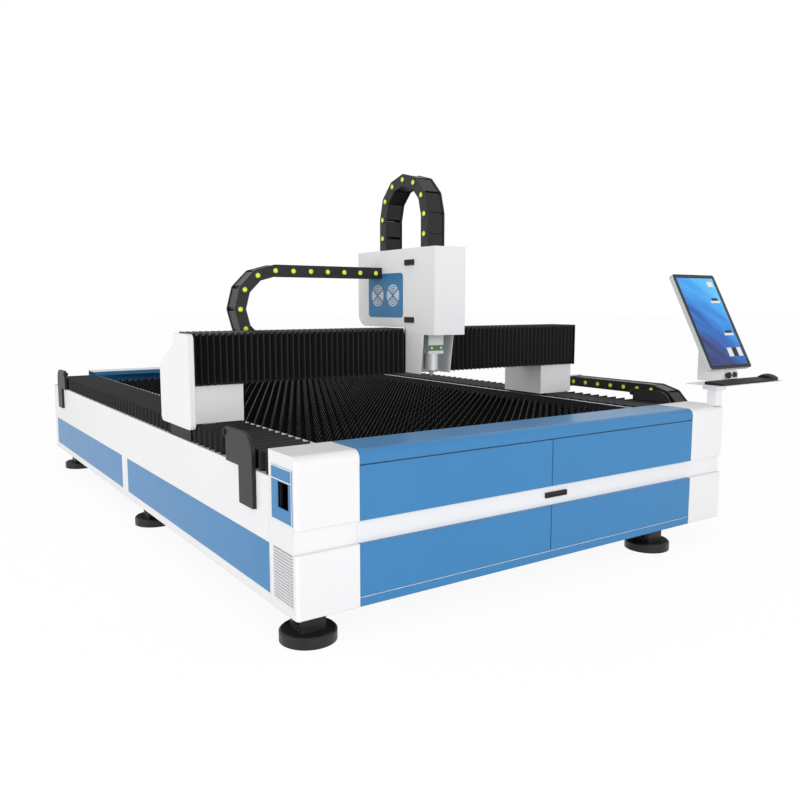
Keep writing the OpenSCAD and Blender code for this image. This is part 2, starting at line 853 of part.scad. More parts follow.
// The right foot has an arm welded on that takes the bed chain's moving end
module gantry_feet() placed(white) {
    gantry_foot(-foot_out);
    gantry_foot(gantry_x1 - gantry_foot_w);
    foot_aprons(-cover_out, -cover_in);
    foot_aprons(cover_in, gantry_x1);
    box(
        [gantry_x1, gantry_y + chain_arm_in, y_up_z - chain_h / 2 - 5],
        [y_chain_x0 + chain_w, gantry_y + chain_arm_in + arm_t, y_up_z + chain_h / 2 + 5]
    );
}

module y_blocks() placed(steel) both_sides()
    for (y = [gantry_y + 20, gantry_y1 - 20 - block_d]) difference() {
    box([rail_x - block_w / 2, y, side_z + 6], [rail_x + block_w / 2, y + block_d, foot_z0]);
    box(
        [rail_x - guide_w / 2 - run_gap, y - cut, side_z],
        [rail_x + guide_w / 2 + run_gap, y + block_d + cut, side_z + guide_h + run_gap]
    );
}

module gantry_beam() placed(steel) difference() {
    box([-foot_out, gbeam_y0, gantry_z0], [gantry_x1 - cap_t, gbeam_y1, gantry_z1]);
    box(
        [-foot_out - cut, gbeam_y0 + gantry_wall, gantry_z0 + gantry_wall],
        [gantry_x1, gbeam_y1 - gantry_wall, gantry_z1 - gantry_wall]
    );
}

module gantry_end_cover() placed(white) {
    top = xcover_top - 6;
    r = 25;
    slope_d = 195;
    slope_h = 145;
    step_h = 48;
    along_x(-foot_out - end_cover_t, -foot_out) difference() {
        rounded_rect([end_cover_y0, end_cover_z0], [end_cover_y1, top], r);
        polygon([
            [end_cover_y1 - slope_d, top + cut], [end_cover_y1 - slope_d, top - step_h],
            [end_cover_y1 + cut, top - slope_h], [end_cover_y1 + cut, top + cut]
        ]);
    }
}

module gantry_right_cap() placed(black) box(
    [gantry_x1 - cap_t, front_y + 1, gantry_z0],
    [gantry_x1, gbeam_y1, xcover_top - 1]
);

module x_rails() placed(steel) for (z = [gantry_z0 + x_rail_in, gantry_z1 - x_rail_in - x_rail_w]) box(
    [-foot_out + 5, gbeam_y0 - x_rail_t, z],
    [gantry_x1 - cap_t - 5, gbeam_y0, z + x_rail_w]
);

// A pleated cover over the beam's front and top, open behind and underneath
module beam_cover(x0, x1) {
    n = round((x1 - x0) / x_pleat);
    y1 = gbeam_y1 - 10;
    difference() {
        intersection() {
            along_z(xcover_low, xcover_top) polygon(concat(
                [[x1, y1], [x0, y1]], pleats(x0, x1, n, front_y + pleat_d, front_y + 0.5)
            ));
            along_y(front_y, y1) polygon(concat(
                pleats(x0, x1, n, xcover_low + pleat_d, xcover_low),
                flipped(pleats(x0, x1, n, xcover_top - pleat_d, xcover_top))
            ));
        }
        box(
            [x0 - cut, front_y + pleat_d + cover_wall, xcover_low - cut],
            [x1 + cut, y1 + cut, xcover_top - pleat_d - cover_wall]
        );
    }
}

module x_bellows_left() placed(black) beam_cover(-foot_out + run_gap, head_x0 + sheet_t - run_gap);

module x_bellows_right() placed(black) beam_cover(head_x1 - sheet_t + run_gap, gantry_x1 - cap_t - run_gap);

module x_chain_tray() placed(white) difference() {
    box(
        [x_tray_x0, gbeam_y1, x_tray_z],
        [x_bend_x + (x_low_n + 2) * chain_pitch, x_tray_y1, x_tray_z + sheet_t + chain_tray_lip]
    );
    box(
        [x_tray_x0 - cut, gbeam_y1 + sheet_t, x_tray_z + sheet_t],
        [half_w, x_tray_y1 - sheet_t, x_tray_z + sheet_t + chain_tray_lip + cut]
    );
}

// Carriage

module carriage() placed(steel) {
    box([head_x0 + sheet_t, front_y, guard_z0], [head_x1 - sheet_t, front_y + plate_t, housing_z1 - 20]);
    for (s = [-1, 1]) box(
        [head_x + s * z_rail_x - z_rail_w / 2, front_y - z_rail_t, slide_z0 - head_travel + slide_hold],
        [head_x + s * z_rail_x + z_rail_w / 2, front_y, housing_z1 - 90]
    );
    for (
        x = [head_x0 + sheet_t + x_block_in, head_x1 - sheet_t - x_block_in - x_block_w],
        z = [gantry_z0 + x_rail_in, gantry_z1 - x_rail_in - x_rail_w]
    ) difference() {
        box(
            [x, front_y + plate_t, z + x_rail_w / 2 - x_block_h / 2],
            [x + x_block_w, front_y + plate_t + block_t, z + x_rail_w / 2 + x_block_h / 2]
        );
        box(
            [x - cut, gbeam_y0 - x_rail_t - run_gap, z - run_gap],
            [x + x_block_w + cut, gbeam_y0, z + x_rail_w + run_gap]
        );
    }
}

// Outline of the rear housing seen from the side, with a rounded lower rear corner
module rear_outline(inset) {
    r = 70;
    y0 = front_y;
    y1 = rear_y1 - inset;
    z0 = housing_z0 + inset;
    z1 = housing_z1 - inset;
    translate([y0, z0 + r - inset]) square([y1 - y0, z1 - z0 - r + inset]);
    translate([y0, z0]) square([y1 - y0 - r + inset, z1 - z0]);
    translate([rear_y1 - r, housing_z0 + r]) circle(r - inset);
}

module rear_housing() placed(white) difference() {
    along_x(head_x0, head_x1) rear_outline(0);
    along_x(head_x0 + sheet_t, head_x1 - sheet_t) rear_outline(sheet_t);
    box(
        [head_x0 + sheet_t, front_y - cut, housing_z0 - cut],
        [head_x1 - sheet_t, front_y + plate_t + 3, housing_z1 - sheet_t]
    );
    along_x(head_x0 - cut, head_x0 + panel_sink) rounded_rect(
        [panel_y0, panel_z0], [panel_y0 + panel_d, panel_z0 + panel_h], panel_r
    );
}

module front_cover() placed(white) difference() {
    box([head_x0, cover_y0, front_z0], [head_x1, front_y, housing_z1]);
    box(
        [head_x0 + sheet_t, cover_y0 + sheet_t, front_z0 - cut],
        [head_x1 - sheet_t, front_y + cut, housing_z1 - sheet_t]
    );
    box(
        [z_chain_x0 - 4, z_bend_y - bend_r - chain_h / 2 - 4, housing_z1 - 2 * sheet_t],
        [z_chain_x0 + chain_w + 4, z_bend_y - bend_r + chain_h / 2 + 4, housing_z1 + cut]
    );
}

module cover_latches() placed(black) {
    latch_d = 72;
    latch_h = 27;
    latch_t = 10;
    for (z = [front_z0 + 69, housing_z1 - 68], x = [head_x0 - latch_t, head_x1]) difference() {
        box([x, front_y - latch_d, z - latch_h / 2], [x + latch_t, front_y - 1, z + latch_h / 2]);
        for (k = [1:3]) for (face = [x - cut, x + latch_t - 2]) box(
            [face, front_y - k * latch_d / 4 - 2, z - latch_h / 2 + 4],
            [face + 2 + cut, front_y - k * latch_d / 4 + 2, z + latch_h / 2 - 4]
        );
    }
}

module fan_panel() placed(blue) along_x(head_x0 + panel_sink - panel_t, head_x0 + panel_sink) rounded_rect(
    [panel_y0 + 0.5, panel_z0 + 0.5],
    [panel_y0 + panel_d - 0.5, panel_z0 + panel_h - 0.5],
    panel_r - 0.5
);

// A round guard split by an X into four sectors, the upper and lower ones slotted in rings
module fan_grille() difference() {
    circle(d = fan_d);
    for (a = [34, -34]) rotate(a) square([fan_d + 2, 5], center = true);
    for (r = [fan_d * 0.2, fan_d * 0.3, fan_d * 0.4]) intersection() {
        difference() {
            circle(r + 2);
            circle(r - 2);
        }
        union() {
            polygon([[0, 6], [fan_d, 6 + fan_d * 1.8], [-fan_d, 6 + fan_d * 1.8]]);
            polygon([[0, -6], [-fan_d, -6 - fan_d * 1.8], [fan_d, -6 - fan_d * 1.8]]);
        }
    }
}

module fan_grilles() placed([0.75, 0.77, 0.8]) for (y = fan_y)
    along_x(head_x0 + panel_sink - panel_t - fan_t, head_x0 + panel_sink - panel_t)
        translate([y, fan_z]) fan_grille();

// Two tapered cheeks, each with a flange screwed to the carriage plate
module head_guard() placed(white) {
    flange = 20;
    top_d = 150;
    low_d = 125;
    for (x = [head_x0, head_x1 - sheet_t]) along_x(x, x + sheet_t) polygon([
        [front_y - top_d, front_z0], [front_y - low_d, guard_z0], [front_y, guard_z0], [front_y, front_z0]
    ]);
    for (x = [head_x0 + sheet_t, head_x1 - sheet_t - flange])
        box([x, front_y - sheet_t, guard_z0], [x + flange, front_y, front_z0]);
}

// The head chain's rear leg stands on the housing
module z_chain_rear_leg() placed(black) z_chain_place() {
    n = floor((z_chain_rise - chain_hold) / chain_pitch);
    fixed_run(n, z_chain_rise - run_gap - chain_pitch * n);
}

// The head chain's front leg stands on the slide's shelf
module z_chain_front_leg() placed(black) z_chain_place() {
    for (i = [0:1:z_low_n - 1]) translate([i * chain_pitch, bend_r, 0]) chain_link(0);
    translate([z_low_n * chain_pitch, bend_r, 0]) chain_end(z_end_len);
}

// Cutting head and its slide

module z_slide() placed(steel) {
    difference() {
        box(
            [head_x - slide_w / 2, slide_y0, slide_z0],
            [head_x + slide_w / 2, slide_y0 + slide_t, shelf_z]
        );
        for (s = [-1, 1]) box(
            [head_x + s * z_rail_x - z_rail_w / 2 - run_gap, front_y - z_rail_t - run_gap, guard_z0],
            [head_x + s * z_rail_x + z_rail_w / 2 + run_gap, front_y + cut, housing_z1]
        );
    }
    box(
        [head_x - slide_w / 2, z_bend_y - bend_r - chain_h / 2, shelf_z - shelf_t],
        [head_x + slide_w / 2, slide_y0, shelf_z]
    );
}

// Optics body slotted for the lens drawer, with a nozzle barrel and a conical tip
module cutting_head() placed([0.77, 0.78, 0.79]) {
    x0 = head_x - head_body_w / 2;
    x1 = head_x + head_body_w / 2;
    difference() {
        box([x0, head_body_y0, head_body_z0], [x1, slide_y0, head_body_z1]);
        box(
            [x0 - cut, head_body_y0 - cut, drawer_z0],
            [x1 + cut, head_body_y0 + drawer_d, drawer_z0 + drawer_h]
        );
    }
    translate([head_x, head_axis_y, head_body_z0]) mirror([0, 0, 1]) difference() {
        union() {
            cylinder(h = barrel_h, d = barrel_d);
            translate([0, 0, barrel_h]) cylinder(h = tip_h, d1 = barrel_d * 0.6, d2 = 8);
        }
        translate([0, 0, barrel_h - 30]) cylinder(h = tip_h + 30 + cut, d = 3);
    }
}

// The drawer slides out to the front for a change of lens, and is screwed shut in use
module lens_drawer() placed([0.38, 0.49, 0.34]) box(
    [head_x - head_body_w / 2, head_body_y0 - drawer_lip, drawer_z0],
    [head_x + head_body_w / 2, head_body_y0 + drawer_d, drawer_z0 + drawer_h - run_gap]
);

// Console

module console_post() placed(white) {
    difference() {
        box([post_x0, post_y0, corner_z], [post_x0 + post_w, post_y0 + post_w, tray_z - collar_h]);
        box(
            [post_x0 + sheet_t, post_y0 + sheet_t, corner_z - cut],
            [post_x0 + post_w - sheet_t, post_y0 + post_w - sheet_t, tray_z - collar_h + cut]
        );
    }
    box(
        [post_x0 - 12, post_y0 - 10, tray_z - collar_h],
        [post_x0 - 12 + collar_w, post_y0 - 10 + collar_w, tray_z]
    );
}

module console_tray() placed(white) along_z(tray_z, desk_z) rounded_rect(
    [tray_x0, tray_y0], [tray_x0 + tray_w, tray_y0 + tray_d], 12
);

// Outline of the console head seen from the side, its sloped face behind the monitor
module head_box_outline() {
    y_back = monitor_y0 + monitor_back * cos(monitor_lean);
    z_back = monitor_z0 - monitor_back * sin(monitor_lean);
    z_top = desk_z + head_box_h;
    polygon([
        [head_front_y, desk_z], [head_front_y + head_box_d, desk_z], [head_front_y + head_box_d, z_top],
        [y_back + (z_top - z_back) * tan(monitor_lean), z_top],
        [y_back, z_back], [head_front_y, desk_z + head_lip_h]
    ]);
}

module console_head() placed(white) difference() {
    along_x(head_box_x0, head_box_x0 + head_box_w) head_box_outline();
    for (x = [stop_x, key_x]) translate([x, head_front_y - cut, switch_z]) rotate([-90, 0, 0])
        cylinder(h = bore_in + cut, d = stem_d + 2 * run_gap);
}

module keyboard() placed(black) {
    key_w = 420;
    key_d = 95;
    key_h = 13;
    x0 = tray_x0 + 12;
    y0 = tray_y0 + 5;
    pitch = 19;
    margin = 10;
    columns = floor((key_w - 2 * margin) / pitch);
    along_x(x0, x0 + key_w) polygon([
        [y0, desk_z], [y0 + key_d, desk_z], [y0 + key_d, desk_z + key_h], [y0, desk_z + key_h - 6]
    ]);
    for (i = [0:columns - 1]) along_x(x0 + margin + i * pitch, x0 + margin + i * pitch + pitch - 3) polygon([
        [y0 + 6, desk_z + key_h - 7], [y0 + key_d - 6, desk_z + key_h - 2],
        [y0 + key_d - 6, desk_z + key_h + 3], [y0 + 6, desk_z + key_h - 2]
    ]);
}

module mouse() placed(black) {
    mouse_w = 58;
    translate([tray_x0 + tray_w - 42, tray_y0 + 62, desk_z]) intersection() {
        translate([0, 0, -40]) sphere(r = 72);
        along_z(0, 40) rounded_rect([-mouse_w / 2, -50], [mouse_w / 2, 50], 26);
    }
}

module leaning() translate([monitor_x0, monitor_y0, monitor_z0]) rotate([-monitor_lean, 0, 0]) children();

module monitor_case() placed([0.2, 0.2, 0.21]) leaning() difference() {
    along_y(0, monitor_t) rounded_rect([0, 0], [monitor_w, monitor_h], 14);
    box([bezel, -cut, bezel], [monitor_w - bezel, screen_t, monitor_h - bezel]);
}

module monitor_screen() placed([0.2, 0.45, 0.8]) leaning() box(
    [bezel + run_gap, 0.4, bezel + run_gap],
    [monitor_w - bezel - run_gap, screen_t, monitor_h - bezel - run_gap]
);

// Mushroom button on a stem that runs in the console head's bore
module emergency_stop() placed(black) translate([stop_x, head_front_y, switch_z]) rotate([90, 0, 0]) {
    translate([0, 0, -stem_in]) cylinder(h = stem_in + knob_gap, d = stem_d);
    translate([0, 0, knob_gap]) cylinder(h = 8, d1 = 24, d2 = 34);
    translate([0, 0, knob_gap + 8]) cylinder(h = 4, d1 = 34, d2 = 28);
}

// Rotary switch with a finger bar across its face
module key_switch() placed(steel) translate([key_x, head_front_y, switch_z]) rotate([90, 0, 0]) {
    translate([0, 0, -stem_in]) cylinder(h = stem_in + run_gap, d = stem_d);
    translate([0, 0, run_gap]) cylinder(h = 8, d = 26);
    translate([0, 0, 8]) box([-3, -11, 0], [3, 11, 10]);
}

side_beams();
crossbeams();
levelling_feet();
side_skirts();
infill_panels();
corner_covers();
vent_grilles();
window_plates();
front_backplate();
front_top_cap();
front_panels();
front_pull();
rear_panel();
rear_top_cap();
slats();
slat_supports();
scrap_trays();
y_guides();
y_bellows_front();
y_bellows_rear();
end_stop_brackets();
end_stop_bumpers();
y_chain_tray();
y_chain_lower_run();
y_chain_bend();
y_chain_upper_run();
console_post();
console_tray();
console_head();
keyboard();
mouse();
monitor_case();
monitor_screen();
emergency_stop();
key_switch();
gantry_beam();
gantry_end_cover();
gantry_right_cap();
gantry_feet();
y_blocks();
x_rails();
x_chain_tray();
x_chain_lower_run();
x_chain_bend();
x_chain_upper_run();
x_bellows_left();
x_bellows_right();
carriage();
rear_housing();
front_cover();
cover_latches();
fan_panel();
fan_grilles();
head_guard();
z_chain_rear_leg();
z_chain_front_leg();
z_chain_bend();
z_slide();
cutting_head();
lens_drawer();
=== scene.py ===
import bmesh
import bpy
import numpy as np
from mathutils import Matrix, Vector


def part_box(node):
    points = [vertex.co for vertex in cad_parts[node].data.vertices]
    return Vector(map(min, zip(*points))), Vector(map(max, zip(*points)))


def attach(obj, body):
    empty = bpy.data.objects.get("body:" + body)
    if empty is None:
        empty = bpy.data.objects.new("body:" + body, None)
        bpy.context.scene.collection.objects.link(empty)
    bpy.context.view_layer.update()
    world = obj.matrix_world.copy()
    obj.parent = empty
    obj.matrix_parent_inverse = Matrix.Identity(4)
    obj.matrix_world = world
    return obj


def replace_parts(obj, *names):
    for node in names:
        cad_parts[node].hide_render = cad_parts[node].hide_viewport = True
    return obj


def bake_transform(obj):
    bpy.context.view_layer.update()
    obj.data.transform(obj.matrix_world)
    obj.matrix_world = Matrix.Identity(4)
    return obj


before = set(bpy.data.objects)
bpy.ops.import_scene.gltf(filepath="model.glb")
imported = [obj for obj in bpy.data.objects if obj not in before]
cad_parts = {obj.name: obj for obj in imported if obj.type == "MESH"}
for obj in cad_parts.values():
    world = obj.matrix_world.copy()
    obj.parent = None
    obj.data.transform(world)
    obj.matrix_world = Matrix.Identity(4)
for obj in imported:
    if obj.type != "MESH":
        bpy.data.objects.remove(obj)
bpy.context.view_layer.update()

# Guides: ground steel rails and racks on the side beams and on the gantry's front, and the blocks
# that carry the gantry along the bed. Bare oiled metal, screwed down under the pleated covers.


class Signal:
    """One output of a shader node. + - * add Math nodes, and node() adds any other node."""

    def __init__(self, socket):
        self.socket = socket

    def node(self, kind, settings, sockets, out=0):
        """Adds a node: its settings first, then the value or link of each socket."""
        tree = self.socket.id_data
        made = tree.nodes.new(kind)
        for name, value in settings.items():
            if name == "stops":
                ramp = made.color_ramp
                while len(ramp.elements) < len(value):
                    ramp.elements.new(1.0)
                for element, (place, colour) in zip(ramp.elements, value):
                    element.position = place
                    element.color = colour
            else:
                setattr(made, name, value)
        for key, value in sockets.items():
            if isinstance(value, Signal):
                tree.links.new(value.socket, made.inputs[key])
            else:
                made.inputs[key].default_value = value
        return Signal(made.outputs[out])

    def __add__(self, other):
        return compute("ADD", self, other)

    __radd__ = __add__

    def __sub__(self, other):
        return compute("SUBTRACT", self, other)

    def __rsub__(self, other):
        return compute("SUBTRACT", other, self)

    def __mul__(self, other):
        return compute("MULTIPLY", self, other)

    __rmul__ = __mul__


def compute(operation, first, second=0.0):
    """A Math node on two signals or numbers, at least one of them a signal."""
    signal = first if isinstance(first, Signal) else second
    return signal.node("ShaderNodeMath", {"operation": operation}, {0: first, 1: second})


def finish(name, **constants):
    """A new material with constant shader sockets, and the Object coordinates of its surface."""
    made = bpy.data.materials.new(name)
    made.use_nodes = True
    shader = made.node_tree.nodes["Principled BSDF"]
    for key, value in constants.items():
        shader.inputs[key.replace("_", " ")].default_value = value
    coordinates = made.node_tree.nodes.new("ShaderNodeTexCoord")
    return made, shader, Signal(coordinates.outputs["Object"])


def feed(shader, **signals):
    """Links signals to the shader's sockets."""
    for key, signal in signals.items():
        shader.id_data.links.new(signal.socket, shader.inputs[key.replace("_", " ")])


def noise(place, scale, detail=2.0):
    """Fractal noise from 0 to 1 with about that many features to a metre."""
    return place.node("ShaderNodeTexNoise", {}, {"Vector": place, "Scale": scale, "Detail": detail})


def mix(factor, first, second):
    """The first colour where factor is 0, the second where it is 1."""
    return factor.node("ShaderNodeMix", {"data_type": "RGBA"}, {0: factor, 6: first, 7: second}, out=2)


def bump(height, strength, distance, edge=0.0):
    """A normal tilted by the slope of height, over edges rounded to that radius."""
    sockets = {"Strength": strength, "Distance": distance, "Height": height}
    if edge:
        sockets["Normal"] = height.node("ShaderNodeBevel", {"samples": 6}, {"Radius": edge})
    return height.node("ShaderNodeBump", {}, sockets)


def paint(material, *names):
    """Gives CAD nodes a finish in place of the plain one they were packed with."""
    for name in names:
        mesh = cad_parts[name].data
        mesh.materials.clear()
        mesh.materials.append(material)


def ground_steel(name, dark, light, stretch):
    """Ground metal: fine scratches over slow stains. The scratches are noise on coordinates scaled by
    stretch, so they are long where stretch is small."""
    made, shader, place = finish(name, Metallic=1.0)
    drawn = place.node("ShaderNodeMapping", {}, {"Vector": place, "Scale": stretch})
    scratch = noise(drawn, 90.0, 4.0)
    stain = noise(place, 6.0, 3.0)
    feed(
        shader,
        Base_Color=mix(scratch * 0.6 + stain * 0.4, dark, light),
        Roughness=0.26 + 0.2 * stain + 0.1 * scratch,
        Normal=bump(scratch, 0.12, 0.0006),
    )
    return made


steel_dark, steel_light = (0.30, 0.31, 0.32, 1), (0.52, 0.53, 0.55, 1)
along_bed = (6, 0.4, 6)
bed_steel = ground_steel("ground_bed_steel", steel_dark, steel_light, along_bed)
paint(bed_steel, "y_guides", "y_blocks", "x_rails")

# Bed frame and levelling feet: welded box beams on turned cast-iron pads with short square
# columns. Black paint with the slight pebble of a casting, and white on the beams' tops.


def paint_skin(place):
    """The orange peel of baked powder paint."""
    return noise(place, 420.0, 2.0)


def powder_coat(name, colour, shine, peel=0.25):
    """Baked powder paint: the colour drifts by a few per cent and the skin has a fine orange peel."""
    made, shader, place = finish(name, Coat_Weight=shine, Coat_Roughness=0.15, Specular_IOR_Level=0.3)
    drift = noise(place, 2.2, 3.0)
    skin = paint_skin(place)
    shade = tuple(0.955 * c for c in colour) + (1.0,)
    light = tuple(min(1.0, 1.035 * c) for c in colour) + (1.0,)
    feed(
        shader,
        Base_Color=mix(drift, shade, light),
        Roughness=0.36 + 0.10 * noise(place, 9.0) + 0.05 * skin,
        Normal=bump(skin, peel, 0.0004, edge=0.004),
    )
    return made


foot_black = powder_coat("foot_black", (0.008, 0.008, 0.0085), 0.10, peel=0.5)
paint(foot_black, "crossbeams", "levelling_feet", "gantry_right_cap")


def axis_of(vector, axis):
    """One coordinate of a vector signal: 0 for x, 1 for y, 2 for z."""
    return vector.node("ShaderNodeSeparateXYZ", {}, {0: vector}, out=axis)


def facing(place, axis):
    """How far the surface looks along an axis: that coordinate of its normal, from -1 to 1."""
    return axis_of(place.node("ShaderNodeNewGeometry", {}, {}, out=1), axis)


def beam_coat():
    """Black paint on the beams' sides, and white on every face that looks up."""
    made, shader, place = finish("beam_coat", Specular_IOR_Level=0.3)
    top = compute("GREATER_THAN", facing(place, 2), 0.9)
    grime = noise(place, 18.0, 4.0)
    black = mix(grime, (0.007, 0.007, 0.007, 1), (0.012, 0.012, 0.012, 1))
    feed(
        shader,
        Base_Color=mix(top, black, (0.72, 0.72, 0.73, 1)),
        Roughness=0.42 + 0.15 * grime,
        Normal=bump(paint_skin(place), 0.3, 0.0004),
    )
    return made


paint(beam_coat(), "side_beams")

# Skirts, corner covers and chain tray: folded sheet steel in fine white powder coat, screwed to
# the beams from inside so that no fixing shows.

cover_white = powder_coat("cover_white", (0.855, 0.853, 0.86), 0.10)
paint(cover_white, "side_skirts", "corner_covers", "front_backplate", "rear_top_cap", "y_chain_tray")

# Blue panels: folded pans in satin blue powder coat on the front, the sides, the access plates
# and the rear, with a rolled blue cap over the front edge.

panel_blue = powder_coat("panel_blue", (0.038, 0.215, 0.470), 0.22, peel=0.12)
paint(panel_blue, "infill_panels", "window_plates", "front_top_cap", "front_panels", "rear_panel")

# Louvres and pull: a pale grey pressed vent in the side of each front corner cover, and a black
# moulded pull in the white band between the front panels. Both are pushed into their openings.


def louvre_paint_and_shade():
    """Pale grey paint on the blades' front edges. The slopes between them carry painted shade that darkens
    with their depth, from 0 at the outermost edge to 1 at the blades' backs."""
    made, shader, place = finish("louvre_paint_and_shade", Specular_IOR_Level=0.3)
    low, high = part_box("vent_grilles")
    blade_depth = 0.006
    from_middle = compute("ABSOLUTE", axis_of(place, 0) - (low.x + high.x) / 2)
    inside = ((high.x - low.x) / 2 - from_middle) * (1.0 / blade_depth)
    slope = compute("LESS_THAN", compute("ABSOLUTE", facing(place, 0)), 0.95)
    skin = paint_skin(place)
    # The slopes between the blades darken towards their backs: painted shade in the recesses.
    feed(
        shader,
        Base_Color=mix(slope * inside, (0.80, 0.80, 0.82, 1), (0.10, 0.11, 0.13, 1)),
        Roughness=0.40 + 0.10 * skin,
        Normal=bump(skin, 0.2, 0.0004),
    )
    return made


paint(louvre_paint_and_shade(), "vent_grilles")


def moulded(name, colour, rough, grain):
    """Moulded plastic: one colour with a spark-eroded grain of that strength."""
    made, shader, place = finish(name, Specular_IOR_Level=0.3)
    erosion = noise(place, 900.0, 3.0)
    sheen = noise(place, 14.0, 2.0)
    low = tuple(0.85 * c for c in colour) + (1.0,)
    high = tuple(1.15 * c for c in colour) + (1.0,)
    feed(
        shader,
        Base_Color=mix(sheen, low, high),
        Roughness=rough - 0.06 + 0.12 * sheen,
        Normal=bump(erosion, grain, 0.0003),
    )
    return made


trim_black = moulded("trim_black", (0.008, 0.008, 0.0085), 0.42, 0.3)
paint(trim_black, "front_pull", "cover_latches", "mouse", "emergency_stop")

# Painted light in the joints: a thin pale strip in the joint above the sill and a slim pale frame with a
# cross strip round each access plate, pressed into the joints in place of the lit backplate and grooves seen
# there.


def surface_piece(name, points, faces, materials, shades=None):
    """A mesh object from arrays of points and faces, its faces turned outwards; shades picks each face's
    material."""
    mesh = bpy.data.meshes.new(name)
    mesh.from_pydata(points.reshape(-1, 3).tolist(), [], faces)
    if shades is not None:
        mesh.polygons.foreach_set("material_index", np.asarray(shades, np.int32))
    work = bmesh.new()
    work.from_mesh(mesh)
    bmesh.ops.recalc_face_normals(work, faces=work.faces)
    work.to_mesh(mesh)
    work.free()
    for material in materials:
        mesh.materials.append(material)
    piece = bpy.data.objects.new(name, mesh)
    bpy.context.scene.collection.objects.link(piece)
    return piece


def corner_ends():
    """Which end, 0 or 1, each of a box's eight corners takes along x, y and z; x changes fastest."""
    return np.indices((2, 2, 2)).reshape(3, 8)[::-1].T


def box_faces(count):
    """The six sides of each of so many boxes, whose eight corners follow one another."""
    sides = np.array([[0, 2, 3, 1], [4, 5, 7, 6], [0, 1, 5, 4], [2, 6, 7, 3], [0, 4, 6, 2], [1, 3, 7, 5]])
    return (sides[None] + 8 * np.arange(count)[:, None, None]).reshape(-1, 4).tolist()


def box_points(spans):
    """The eight corners of each box, from an array of low and high corners."""
    return np.take_along_axis(spans, np.broadcast_to(corner_ends(), (len(spans), 8, 3)), axis=1)


# The strips' pale colour is painted light, for the lit backplate and grooves inside the joints.
lit_joint_white = moulded("lit_joint_white", (0.74, 0.76, 0.79), 0.4, 0.1)
lip, lit_strip_width = 0.0008, 0.0035
cross_drop, cross_half = 0.0445, 0.002
low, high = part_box("window_plates")
centre, face = (low.x + high.x) / 2, (high.x - low.x) / 2
out = face + lip
near, far = low.y + lit_strip_width, high.y - lit_strip_width
foot, top, cross = low.z + lit_strip_width, high.z - lit_strip_width, high.z - cross_drop
frames = np.array([
    [(face, low.y, low.z), (out, high.y, foot)],
    [(face, low.y, top), (out, high.y, high.z)],
    [(face, low.y, foot), (out, near, top)],
    [(face, far, foot), (out, high.y, top)],
    [(face, near, cross - cross_half), (out, far, cross + cross_half)],
])
frames = np.concatenate([frames, frames * [-1, 1, 1]]) + [centre, 0, 0]
joint_foot, joint_top, joint_inset, joint_back = 0.1255, 0.1285, 0.002, 0.001
low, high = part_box("front_panels")
joint = np.array([[
    (low.x + joint_inset, low.y + joint_inset, joint_foot),
    (high.x - joint_inset, high.y - joint_back, joint_top),
]])
lit_strips = np.concatenate([frames, joint])
lit_joint_piece = surface_piece(
    "painted_lit_joints", box_points(lit_strips), box_faces(len(lit_strips)), [lit_joint_white]
)
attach(lit_joint_piece, "bed")

# Slat table: laser-cut steel strips stood on edge in slotted combs, over folded scrap trays.
# The faces are dark with mill scale and burnt spatter, the cut edges paler.


def burnt_slats():
    """Mill scale with brown heat tints on the faces; bare cut metal where the surface isn't a face."""
    made, shader, place = finish("burnt_slats", Metallic=0.3, Specular_IOR_Level=0.12)
    edge = 1.0 - compute("ABSOLUTE", facing(place, 1))
    scale = noise(place, 55.0, 5.0)
    spatter = noise(place, 260.0, 2.0)
    skin = mix(scale, (0.002, 0.002, 0.002, 1), (0.007, 0.0065, 0.006, 1))
    feed(
        shader,
        Base_Color=mix(edge, skin, (0.095, 0.095, 0.095, 1)),
        Roughness=0.42 + 0.25 * scale,
        Normal=bump(spatter * 0.5 + scale * 0.5, 0.35, 0.0012),
    )
    return made


paint(burnt_slats(), "slats")
tray_grey = powder_coat("tray_grey", (0.022, 0.022, 0.023), 0.0, peel=0.5)
paint(tray_grey, "slat_supports", "scrap_trays")

# Rail covers: pleated bellows of coated black cloth over each bed rail, one from the front end
# to the gantry and one from the gantry to the rear.


def pleats(section, inward, ends, count, depth, cloth):
    """An accordion of cloth. The fold wave runs from 0 in a valley to 1 on a ridge, part triangle and part
    cosine. A section point moves in by depth times one less the wave, and the inner skin lies one cloth
    thickness further in. Gives points as (along, section 0, section 1), their faces and the wave."""
    per_fold, sharp, soft = 8, 0.7, 0.3
    turn = np.linspace(0.0, count, count * per_fold + 1)
    triangle = 1.0 - np.abs(2.0 * (turn % 1.0) - 1.0)
    wave = sharp * triangle + soft * (0.5 - 0.5 * np.cos(2.0 * np.pi * turn))
    outer = section[None] + inward[None] * (depth * (1.0 - wave))[:, None, None]
    loop = np.concatenate([outer, (outer + inward[None] * cloth)[:, ::-1]], axis=1)
    rows, columns = loop.shape[:2]
    along = ends[0] + (ends[1] - ends[0]) * turn / count
    points = np.concatenate([np.broadcast_to(along[:, None, None], (rows, columns, 1)), loop], axis=2)
    ridge = np.repeat(wave, columns)
    index = np.arange(rows * columns).reshape(rows, columns)
    ahead = np.roll(index, -1, axis=1)
    skin = np.stack([index[:-1], ahead[:-1], ahead[1:], index[1:]], axis=-1).reshape(-1, 4)
    half = columns // 2
    front, back = np.arange(half - 1), columns - 1 - np.arange(half - 1)
    rim = np.stack([front, front + 1, back - 1, back], axis=-1)
    return points, np.concatenate([skin, rim, rim + (rows - 1) * columns]).tolist(), ridge


def mark_ridges(piece, ridge):
    """Keeps the fold wave on the mesh, for the cloth to be paler along its ridges."""
    piece.data.attributes.new("ridge", "FLOAT", "POINT").data.foreach_set("value", ridge)


